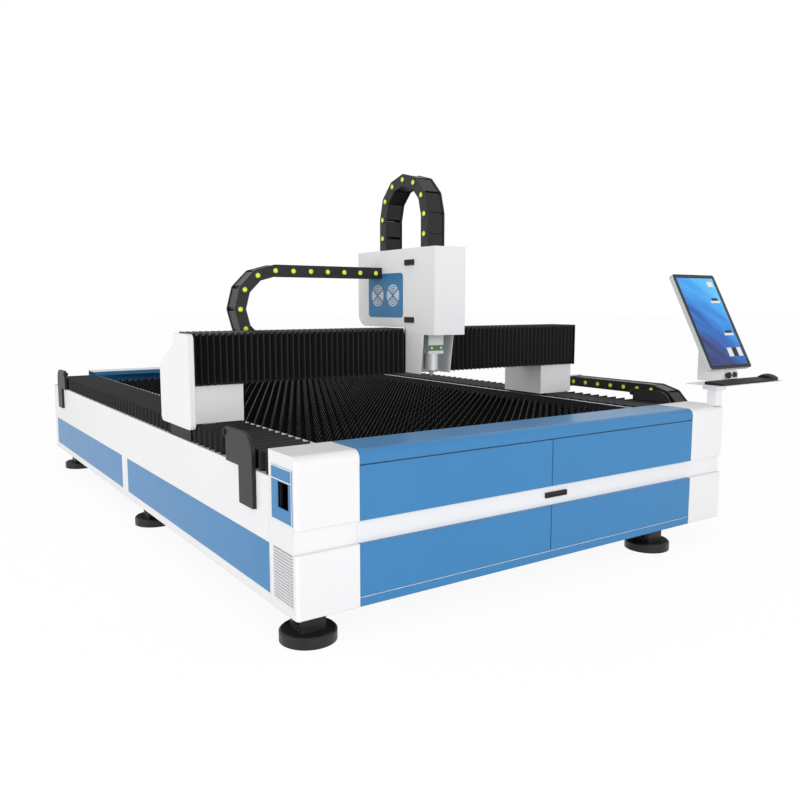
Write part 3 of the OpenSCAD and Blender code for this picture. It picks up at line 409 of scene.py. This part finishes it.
def bellows_cloth():
    """Coated cloth: a fine weave under a matt skin, dusty on the upward faces, and paler on the ridges, worn
    grey and with a painted highlight, by the twelfth power of the fold wave."""
    made, shader, place = finish("bellows_cloth", Specular_IOR_Level=0.16)
    weave = noise(place, 1500.0, 1.0)
    wear = noise(place, 16.0, 4.0)
    dust = place.node("ShaderNodeClamp", {}, {"Value": facing(place, 2)}) * (0.35 + 0.3 * wear)
    cloth = mix(wear, (0.0035, 0.0035, 0.0035, 1), (0.0065, 0.0065, 0.0065, 1))
    fold = place.node("ShaderNodeAttribute", {"attribute_name": "ridge"}, {}, out=2)
    # The ridges are paler: wear and a painted highlight.
    ridge_wear_and_highlight = compute("POWER", fold, 12.0) * (0.5 + 0.4 * wear)
    cloth = mix(ridge_wear_and_highlight, cloth, (0.050, 0.050, 0.051, 1))
    feed(
        shader,
        Base_Color=mix(dust, cloth, (0.020, 0.020, 0.021, 1)),
        Roughness=0.36 + 0.14 * wear,
        Normal=bump(weave, 0.3, 0.0004),
    )
    return made


cover_cloth = bellows_cloth()
cloth_thickness = 0.003
rail_cover_width = 0.234
# The folds in the cover's side walls are deeper than those in its top, by the factor in side.
rail_fold, side = 0.016, 2.1
for part, pitch in (("front", 0.0605), ("rear", 0.0613)):
    low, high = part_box("y_bellows_" + part)
    centre = (low.x + high.x) / 2
    outside, inside = high.x - centre, high.x - centre - rail_cover_width
    u_section = np.array([[inside, low.z], [inside, high.z], [outside, high.z], [outside, low.z]])
    u_inward = np.array([[side, 0], [side, -1], [-side, -1], [-side, 0]])
    folds = round((high.y - low.y) / pitch)
    strip, strip_faces, ridge = pleats(
        u_section, u_inward, (low.y, high.y), folds, rail_fold, cloth_thickness
    )
    strip = strip[..., [1, 0, 2]].reshape(-1, 3)
    pair = np.concatenate([strip, strip * [-1, 1, 1]]) + [centre, 0, 0]
    pair_faces = strip_faces + (np.array(strip_faces) + len(strip)).tolist()
    cover = surface_piece("rail_bellows_" + part, pair, pair_faces, [cover_cloth])
    mark_ridges(cover, np.tile(ridge, 2))
    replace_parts(cover, "y_bellows_" + part)
    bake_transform(cover)

# End stops: dark plates bolted to the skirts' outside at both ends of the travel, with a black
# edge and a round rubber bumper that meets the gantry's end.


def edged_plate():
    """Dark grey paint on the plate's two faces and near black round its cut edge."""
    made, shader, place = finish("stop_plate", Specular_IOR_Level=0.35)
    face = compute("ABSOLUTE", facing(place, 0))
    drift = noise(place, 12.0, 3.0)
    plate = mix(drift, (0.011, 0.011, 0.0113, 1), (0.016, 0.016, 0.0163, 1))
    skin = noise(place, 600.0, 2.0)
    feed(
        shader,
        Base_Color=mix(face, (0.010, 0.010, 0.010, 1), plate),
        Roughness=0.42 + 0.1 * drift,
        Normal=bump(skin, 0.3, 0.0004),
    )
    return made


paint(edged_plate(), "end_stop_brackets")
bumper_rubber = moulded("bumper_rubber", (0.010, 0.010, 0.010), 0.6, 0.4)
paint(bumper_rubber, "end_stop_bumpers")

# Console: a square post and collar, a thin tray with keyboard and mouse, and a wedge head that
# carries the monitor, the stop button and the key switch. White sheet, black plastics.

paint(cover_white, "console_post", "console_tray", "console_head")


def monitor_shell():
    """Silver paint on the sides and back of the case, near black on the front: the front is where the normal
    lies within about 25 degrees of the way the screen looks."""
    made, shader, place = finish("monitor_shell", Specular_IOR_Level=0.3)
    screen_way = (0.0, -0.883, 0.469)
    normal = place.node("ShaderNodeNewGeometry", {}, {}, out=1)
    ahead = place.node(
        "ShaderNodeVectorMath", {"operation": "DOT_PRODUCT"}, {0: normal, 1: screen_way}, out=1
    )
    front = compute("GREATER_THAN", ahead, 0.9)
    fleck = noise(place, 700.0, 2.0)
    silver = mix(fleck, (0.60, 0.61, 0.63, 1), (0.64, 0.65, 0.67, 1))
    feed(
        shader,
        Base_Color=mix(front, silver, (0.012, 0.012, 0.013, 1)),
        Roughness=0.32 + 0.08 * fleck,
        Normal=bump(fleck, 0.04, 0.0001),
    )
    return made


paint(monitor_shell(), "monitor_case")


def key_corners(places, low_half, high_half, height):
    """Keys as frustums: each corner lies half a width from its place, the width at the foot or at the top."""
    ends = corner_ends()
    halves = np.where(ends[:, 2:] == 0, low_half, high_half)
    offset = np.concatenate([(2 * ends[:, :2] - 1) * halves, ends[:, 2:] * height], axis=1)
    return places[:, None] + offset[None]


low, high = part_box("keyboard")
front_rise, rear_rise = 0.007, 0.013
wedge = box_points(np.array([[low, high]]))[0]
wedge[4:, 2] = low.z + np.where(wedge[4:, 1] > low.y, rear_rise, front_rise)
columns, column_pitch, first_column = 21, 0.01995, 0.0105
rows, row_pitch, first_row = 5, 0.019, 0.0095
key_foot, key_top = np.array([0.0090, 0.0084]), np.array([0.0070, 0.0066])
key_height, key_sink = 0.0034, 0.0005
key_y, key_x = np.meshgrid(
    low.y + first_row + row_pitch * np.arange(rows),
    low.x + first_column + column_pitch * np.arange(columns),
    indexing="ij",
)
rise = (rear_rise - front_rise) * (key_y - low.y) / (high.y - low.y)
key_places = np.stack([key_x, key_y, low.z + front_rise - key_sink + rise], axis=-1).reshape(-1, 3)
keys = key_corners(key_places, key_foot, key_top, key_height)
points = np.concatenate([wedge, keys.reshape(-1, 3)])
faces = box_faces(1 + len(keys))
shades = np.arange(len(faces)) >= 6
key_black = moulded("key_black", (0.0065, 0.0065, 0.007), 0.5, 0.3)
keyboard = surface_piece("keyboard_keys", points, faces, [trim_black, key_black], shades)
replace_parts(keyboard, "keyboard")
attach(keyboard, "bed")
switch_steel = ground_steel("switch_steel", (0.10, 0.10, 0.105, 1), (0.22, 0.22, 0.225, 1), (1, 1, 1))
paint(switch_steel, "key_switch")


def between(value, low, high):
    """1 where value lies from low to high, 0 elsewhere."""
    return compute("GREATER_THAN", value, low) * compute("LESS_THAN", value, high)


def lit_screen():
    """A lit panel in a dark rim: a blue field, dark low on the left and bright high on the right, with soft
    slanted bands of noise, and plain pale and dark fields down its right side for the control windows."""
    made, shader, place = finish(
        "lit_screen", Roughness=0.2, Specular_IOR_Level=0.1, Emission_Strength=0.95
    )
    low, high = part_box("monitor_screen")
    across = (axis_of(place, 0) - low.x) * (1.0 / (high.x - low.x))
    up = (axis_of(place, 2) - low.z) * (1.0 / (high.z - low.z))
    slanted = place.node("ShaderNodeCombineXYZ", {}, {0: 7.0 * up + 3.5 * across, 1: across - up})
    bands = noise(slanted, 1.0, 3.0)
    blues = [
        (0.0, (0.030, 0.062, 0.300, 1)),
        (0.26, (0.042, 0.052, 0.170, 1)),
        (0.46, (0.030, 0.140, 0.480, 1)),
        (0.66, (0.045, 0.300, 0.800, 1)),
        (0.86, (0.090, 0.490, 0.980, 1)),
        (1.0, (0.150, 0.600, 1.000, 1)),
    ]
    level = 0.62 * up + 0.34 * across + 0.60 * bands - 0.20
    picture = place.node("ShaderNodeValToRGB", {"stops": blues}, {"Fac": level})
    pale, dark = (0.80, 0.80, 0.80, 1), (0.026, 0.028, 0.034, 1)
    for left, right, foot, top, shade in (
        (0.77, 0.92, 0.885, 0.945, pale),
        (0.68, 0.92, 0.335, 0.361, pale),
        (0.72, 0.88, 0.361, 0.390, dark),
        (0.68, 0.92, 0.700, 0.726, pale),
        (0.72, 0.88, 0.726, 0.755, dark),
        (0.58, 0.94, 0.105, 0.200, pale),
        (0.70, 0.83, 0.105, 0.200, dark),
    ):
        picture = mix(between(across, left, right) * between(up, foot, top), picture, shade)
    lit = between(across, 0.034, 0.966) * between(up, 0.016, 0.984)
    rim = (0.012, 0.011, 0.010, 1)
    feed(
        shader,
        Base_Color=mix(lit, rim, (0.004, 0.005, 0.008, 1)),
        Emission_Color=mix(lit, rim, picture),
    )
    return made


paint(lit_screen(), "monitor_screen")

# Gantry: a box beam on two white feet with a shaped end cover on the left, and pleated bellows
# over its front and top on both sides of the head.

paint(cover_white, "gantry_end_cover", "x_chain_tray")
paint(foot_black, "gantry_beam")


def foot_coat():
    """White powder coat on the feet, black on the aprons that hang below them."""
    made, shader, place = finish("foot_coat", Specular_IOR_Level=0.15)
    apron_top = 0.6249
    apron = compute("LESS_THAN", axis_of(place, 2), apron_top)
    drift = noise(place, 2.2, 3.0)
    skin = paint_skin(place)
    white = mix(drift, (0.83, 0.83, 0.835, 1), (0.90, 0.90, 0.905, 1))
    feed(
        shader,
        Base_Color=mix(apron, white, (0.003, 0.003, 0.003, 1)),
        Roughness=0.40 + 0.08 * skin,
        Normal=bump(skin, 0.25, 0.0004),
    )
    return made


paint(foot_coat(), "gantry_feet")
beam_pitch, beam_fold = 0.0285, 0.0155
for part in ("left", "right"):
    low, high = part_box("x_bellows_" + part)
    l_section = np.array([[low.y, low.z], [low.y, high.z], [high.y, high.z]])
    l_inward = np.array([[1, 1], [1, -1], [0, -1]], float)
    folds = round((high.x - low.x) / beam_pitch)
    strip, strip_faces, ridge = pleats(
        l_section, l_inward, (low.x, high.x), folds, beam_fold, cloth_thickness
    )
    cover = surface_piece("beam_bellows_" + part, strip, strip_faces, [cover_cloth])
    mark_ridges(cover, ridge)
    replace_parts(cover, "x_bellows_" + part)
    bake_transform(cover)

# Head housing: folded white covers on the carriage plate, a latched front half, a blue fan panel
# with two moulded grilles, and two tapered cheeks that guard the nozzle.

paint(cover_white, "rear_housing", "front_cover", "head_guard")
fan_blue = powder_coat("fan_blue", (0.036, 0.195, 0.405), 0.10, peel=0.12)
paint(fan_blue, "fan_panel")


def grille_bars(inner, outer, middle, spread, slit, steps):
    """Curved bars: each is the rectangle between its two radii and two depths, 0 and 1, carried along an arc
    round its middle direction. At radius r the arc reaches spread to each side, less the angle whose sine is
    half a slit over r, so that the slits between bars have parallel sides. Gives points as (depth, y, z), and
    faces."""
    radii = np.stack([inner, outer, outer, inner], axis=-1)[:, None]
    reach = spread[:, None, None] - np.arcsin(slit / 2 / radii)
    turn = middle[:, None, None] + reach * np.linspace(-1, 1, steps)[None, :, None]
    depth = np.broadcast_to([0.0, 0.0, 1.0, 1.0], turn.shape)
    points = np.stack([depth, radii * np.cos(turn), radii * np.sin(turn)], axis=-1)
    index = np.arange(turn.size).reshape(turn.shape)
    ahead = np.roll(index, -1, axis=2)
    skin = np.stack([index[:, :-1], ahead[:, :-1], ahead[:, 1:], index[:, 1:]], axis=-1).reshape(-1, 4)
    return points, np.concatenate([skin, index[:, 0], index[:, -1]])


grille_grey = moulded("grille_grey", (0.66, 0.70, 0.74), 0.45, 0.15)
low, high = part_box("fan_grilles")
fan_radius = (high.z - low.z) / 2
rings, ring_pitch, slit, arc_steps = 4, 0.0118, 0.0085, 13
wide, narrow = 0.0098, 0.0064
bar_outer = np.tile(fan_radius - ring_pitch * np.arange(rings), 4)
bar_width = np.repeat([wide, narrow, wide, narrow], rings)
bar_middle = np.repeat(np.radians([0, 90, 180, 270]), rings)
bar_spread = np.repeat(np.radians([34, 56, 34, 56]), rings)
bars, bar_faces = grille_bars(bar_outer - bar_width, bar_outer, bar_middle, bar_spread, slit, arc_steps)
bars = bars.reshape(-1, 3) * [high.x - low.x, 1, 1] + [low.x, 0, (low.z + high.z) / 2]
fans = np.concatenate([bars + [0, low.y + fan_radius, 0], bars + [0, high.y - fan_radius, 0]])
fan_faces = np.concatenate([bar_faces, bar_faces + len(bars)]).tolist()
fan_rings = surface_piece("fan_grille_rings", fans, fan_faces, [grille_grey])
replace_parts(fan_rings, "fan_grilles")
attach(fan_rings, "carriage")
milled_alloy = ground_steel("milled_alloy", (0.55, 0.56, 0.57, 1), (0.75, 0.76, 0.77, 1), (1, 1, 4))
paint(milled_alloy, "carriage", "z_slide")

# Cutting head: a bead-blasted alloy body with its nozzle, bolted to the slide, and a lens drawer
# of the same alloy with a green front plate.


def blasted_alloy(name, front):
    """Bead-blasted alloy: satin grey with a fine even grain and slow stains. The faces that look forward have
    the front colour."""
    made, shader, place = finish(name, Metallic=0.2, Specular_IOR_Level=0.4)
    grain = noise(place, 900.0, 2.0)
    stain = noise(place, 14.0, 3.0)
    ahead = compute("LESS_THAN", facing(place, 1), -0.9)
    alloy = mix(stain, (0.58, 0.60, 0.61, 1), (0.70, 0.72, 0.73, 1))
    feed(
        shader,
        Base_Color=mix(ahead, alloy, front),
        Roughness=0.42 + 0.12 * grain,
        Normal=bump(grain, 0.15, 0.0002),
    )
    return made


paint(blasted_alloy("blasted_alloy", (0.72, 0.74, 0.75, 1)), "cutting_head")
paint(blasted_alloy("drawer_green", (0.110, 0.200, 0.080, 1)), "lens_drawer")

# Drag chains: moulded black links with round ends and yellow pivot caps, one chain for each axis.

chain_black = moulded("chain_black", (0.012, 0.012, 0.012), 0.36, 0.35)
paint(chain_black, "x_chain_bend", "y_chain_bend", "z_chain_bend")


def merged_copy(name, material):
    """A copy of a CAD node as a piece of its own, with its doubled corners merged."""
    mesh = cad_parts[name].data.copy()
    mesh.name = name + "_links"
    work = bmesh.new()
    work.from_mesh(mesh)
    bmesh.ops.remove_doubles(work, verts=work.verts, dist=1e-6)
    work.to_mesh(mesh)
    work.free()
    mesh.materials.clear()
    mesh.materials.append(material)
    piece = bpy.data.objects.new(name + "_links", mesh)
    bpy.context.scene.collection.objects.link(piece)
    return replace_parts(piece, name)


def caps(profile, shades, centres, axis, sides):
    """Turned caps: a profile of radius and height swept round each centre, standing out along the axis on
    that centre's side. Gives points, faces and each face's shade."""
    around = 24
    turn = np.linspace(0.0, 2.0 * np.pi, around + 1)[:-1]
    ring = np.stack([np.cos(turn), np.sin(turn)], axis=-1)
    flat = [k for k in range(3) if k != axis]
    one = np.zeros((len(profile), around, 3))
    one[:, :, flat] = profile[:, None, :1] * ring[None]
    out = np.zeros((len(centres), len(profile), around, 3))
    out[..., axis] = sides[:, None, None] * profile[None, :, 1, None]
    points = centres[:, None, None] + one[None] + out
    index = np.arange(len(profile) * around).reshape(len(profile), around)
    ahead = np.roll(index, -1, axis=1)
    wall = np.stack([index[:-1], ahead[:-1], ahead[1:], index[1:]], axis=-1).reshape(-1, 4)
    step = index.size * np.arange(len(centres))
    walls = (wall[None] + step[:, None, None]).reshape(-1, 4).tolist()
    lids = (index[-1][None] + step[:, None]).tolist()
    tint = np.tile(np.repeat(shades[:-1], around), len(centres))
    return points, walls + lids, np.concatenate([tint, np.full(len(centres), shades[-1])])


def cap_plastic(name, low, high):
    """Glossy moulded plastic whose colour drifts between two close tones."""
    made, shader, place = finish(name)
    tone = noise(place, 60.0, 2.0)
    feed(shader, Base_Color=mix(tone, low, high), Roughness=0.28 + 0.1 * tone)
    return made


cap_yellow = cap_plastic("cap_yellow", (0.66, 0.92, 0.010, 1), (0.82, 1.0, 0.030, 1))
cap_navy = cap_plastic("cap_navy", (0.004, 0.004, 0.010, 1), (0.009, 0.009, 0.018, 1))
cap_profile = np.array([
    [0.0190, 0.0], [0.0190, 0.0010], [0.0180, 0.0016], [0.0118, 0.0016],
    [0.0110, 0.0016], [0.0108, 0.0030], [0.0092, 0.0038], [0.0040, 0.0041],
])
cap_shades = np.array([0, 0, 0, 0, 1, 1, 1, 1])
link_pitch, link_half, link_turn = 0.092, 0.027, 30
radius = link_pitch / (2 * np.sin(np.radians(link_turn / 2)))
arc = np.radians(270 - link_turn * np.arange(6))
# A fixed run's span ends this far beyond the bend's centre.
held = 0.030
# A smooth step is 1.5 times steeper in its middle than on average, so a fixed run's
# span is at least that much longer than the bend's travel.
least_span = 1.52
# A run's last link counts even if the run is this much short of it.
slack = 0.002
# Each chain: along and up give the run's direction and the way from the bend's centre to the
# moving run, as (axis, sign); then the axis across the chain, the names of its two runs, the
# bodies that they end on and how far the bend travels towards the fixed end.
for chain, along, up, across, fixed_part, moving_part, fixed_body, moving_body, bend_travel in (
    ("x_chain", (0, 1), (2, 1), 1, "lower_run", "upper_run", "gantry", "carriage", 0.35),
    ("y_chain", (1, 1), (2, 1), 0, "lower_run", "upper_run", "bed", "gantry", 1.05),
    ("z_chain", (2, -1), (1, -1), 0, "rear_leg", "front_leg", "carriage", "head", 0.085),
):
    axis, way = along
    bend_body = chain[0] + "_bend"
    low, high = (np.array(corner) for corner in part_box(chain + "_bend"))
    hub = (low + high) / 2
    hub[axis] = (low if way > 0 else high)[axis] + way * (radius + link_half)
    ends, counts = {}, {}
    for part in (fixed_part, moving_part):
        ends[part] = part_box(chain + "_" + part)[1 if way > 0 else 0][axis]
        counts[part] = int((abs(ends[part] - hub[axis]) - link_half + slack) / link_pitch)
    fixed_steps = np.arange(1, counts[fixed_part] + 1)
    moving_steps = np.arange(counts[moving_part] + 1)
    pivots = {
        "bend": np.stack([radius * np.cos(arc), radius * np.sin(arc)], axis=-1),
        moving_part: np.stack([link_pitch * moving_steps, np.full(len(moving_steps), radius)], axis=-1),
        fixed_part: np.stack([link_pitch * fixed_steps, np.full(len(fixed_steps), -radius)], axis=-1),
    }
    for part, places in pivots.items():
        centres = np.tile(hub, (2 * len(places), 1))
        centres[:, axis] += way * np.tile(places[:, 0], 2)
        centres[:, up[0]] += up[1] * np.tile(places[:, 1], 2)
        sides = np.repeat([-1.0, 1.0], len(places))
        centres[:, across] = np.where(sides < 0, low[across], high[across])
        points, faces, shades = caps(cap_profile, cap_shades, centres, across, sides)
        dots = surface_piece(
            f"{chain}_{part}_caps", points, faces, [cap_navy, cap_yellow], shades
        )
        if part == "bend":
            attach(dots, bend_body)
            continue
        links = merged_copy(chain + "_" + part, chain_black)
        near, far = hub.copy(), hub.copy()
        far[axis] = ends[part]
        if part == moving_part:
            # Half of the moving end's travel at the run's tip, where it meets the bend.
            near[axis] -= way * link_half
            span = dict(start=tuple(2 * near - far), end=tuple(far))
        else:
            near[axis] += way * held
            reach = max(abs(far - near).max(), least_span * bend_travel)
            far[axis] = near[axis] + way * reach
            span = dict(start=tuple(far), end=tuple(near))
        for piece in (links, dots):
            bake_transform(piece)

# Lens drawer screws: two bright zinc-plated cheese-head screws through the drawer's green front
# into the head, so that the drawer stays shut in use.

screw_profile = np.array([[0.0058, 0.0], [0.0058, 0.0030], [0.0052, 0.0036], [0.0020, 0.0036]])
screw_inset = 0.017
low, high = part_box("lens_drawer")
screw_z = (low.z + high.z) / 2
screw_places = np.array([[low.x + screw_inset, low.y, screw_z], [high.x - screw_inset, low.y, screw_z]])
points, faces, shades = caps(screw_profile, np.zeros(4, int), screw_places, 1, np.array([-1.0, -1.0]))
screw_zinc = cap_plastic("screw_zinc", (0.78, 0.80, 0.80, 1), (0.88, 0.89, 0.89, 1))
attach(surface_piece("lens_drawer_screws", points, faces, [screw_zinc]), "head")

# Studio: a pale floor that runs out to a white background, even light from all round and two
# large soft lamps, in front and on the left, seen from the machine's front left corner.


def seen_rays(tree):
    """1 for rays that the eye follows, directly, in a reflection or through glass, and 0 for the light that
    only brightens other surfaces."""
    path = tree.nodes.new("ShaderNodeLightPath")
    seen = Signal(path.outputs["Is Camera Ray"]) + Signal(path.outputs["Is Glossy Ray"])
    seen = seen + Signal(path.outputs["Is Transmission Ray"])
    return compute("MINIMUM", seen, 1.0)


def studio_floor():
    """White floor: plain paint to the light, near white to the eye and to reflections."""
    made, shader, place = finish("studio_floor", Roughness=0.8)
    tree = made.node_tree
    feed(shader, Base_Color=mix(noise(place, 3.0), (0.86, 0.86, 0.86, 1), (0.90, 0.90, 0.90, 1)))
    glow = tree.nodes.new("ShaderNodeEmission")
    glow.inputs["Strength"].default_value = 1.03
    both = tree.nodes.new("ShaderNodeMixShader")
    tree.links.new((seen_rays(tree) * 0.90).socket, both.inputs[0])
    tree.links.new(shader.outputs[0], both.inputs[1])
    tree.links.new(glow.outputs[0], both.inputs[2])
    tree.links.new(both.outputs[0], tree.nodes["Material Output"].inputs["Surface"])
    return made


half = 60
floor_mesh = bpy.data.meshes.new("studio_floor")
floor_corners = [(-half, -half, 0), (half, -half, 0), (half, half, 0), (-half, half, 0)]
floor_mesh.from_pydata(floor_corners, [], [(0, 1, 2, 3)])
floor_mesh.materials.append(studio_floor())
floor_piece = bpy.data.objects.new("studio_floor", floor_mesh)
bpy.context.scene.collection.objects.link(floor_piece)

world = bpy.data.worlds.new("studio_light")
bpy.context.scene.world = world
world.use_nodes = True
level = 0.60 + 0.40 * seen_rays(world.node_tree)
background = world.node_tree.nodes["Background"]
background.inputs["Color"].default_value = (1, 1, 1, 1)
world.node_tree.links.new(level.socket, background.inputs["Strength"])

lamp_size = 4.0
lamp_target = Vector((0, 0, 0.6))
for name, energy, spot in (
    ("front_lamp", 235.0, (-1.2, -8.6, 1.9)),
    ("left_lamp", 260.0, (-9.2, -1.0, 1.9)),
):
    lamp = bpy.data.lights.new(name, "AREA")
    lamp.energy = energy
    lamp.size = lamp_size
    lamp_object = bpy.data.objects.new(name, lamp)
    lamp_object.location = spot
    aim = lamp_target - lamp_object.location
    lamp_object.rotation_euler = aim.to_track_quat("-Z", "Y").to_euler()
    bpy.context.scene.collection.objects.link(lamp_object)

camera_place = (-2.4003, -4.0874, 1.129)
camera_aim = Vector((0.5587, 0.8202, -0.1226))
camera = bpy.data.cameras.new("corner_view")
camera.lens = 34.96
camera.sensor_width = 36.0
camera_object = bpy.data.objects.new("corner_view", camera)
camera_object.location = camera_place
camera_object.rotation_euler = camera_aim.to_track_quat("-Z", "Y").to_euler()
bpy.context.scene.collection.objects.link(camera_object)
bpy.context.scene.camera = camera_object

bpy.context.scene.view_settings.view_transform = "Standard"
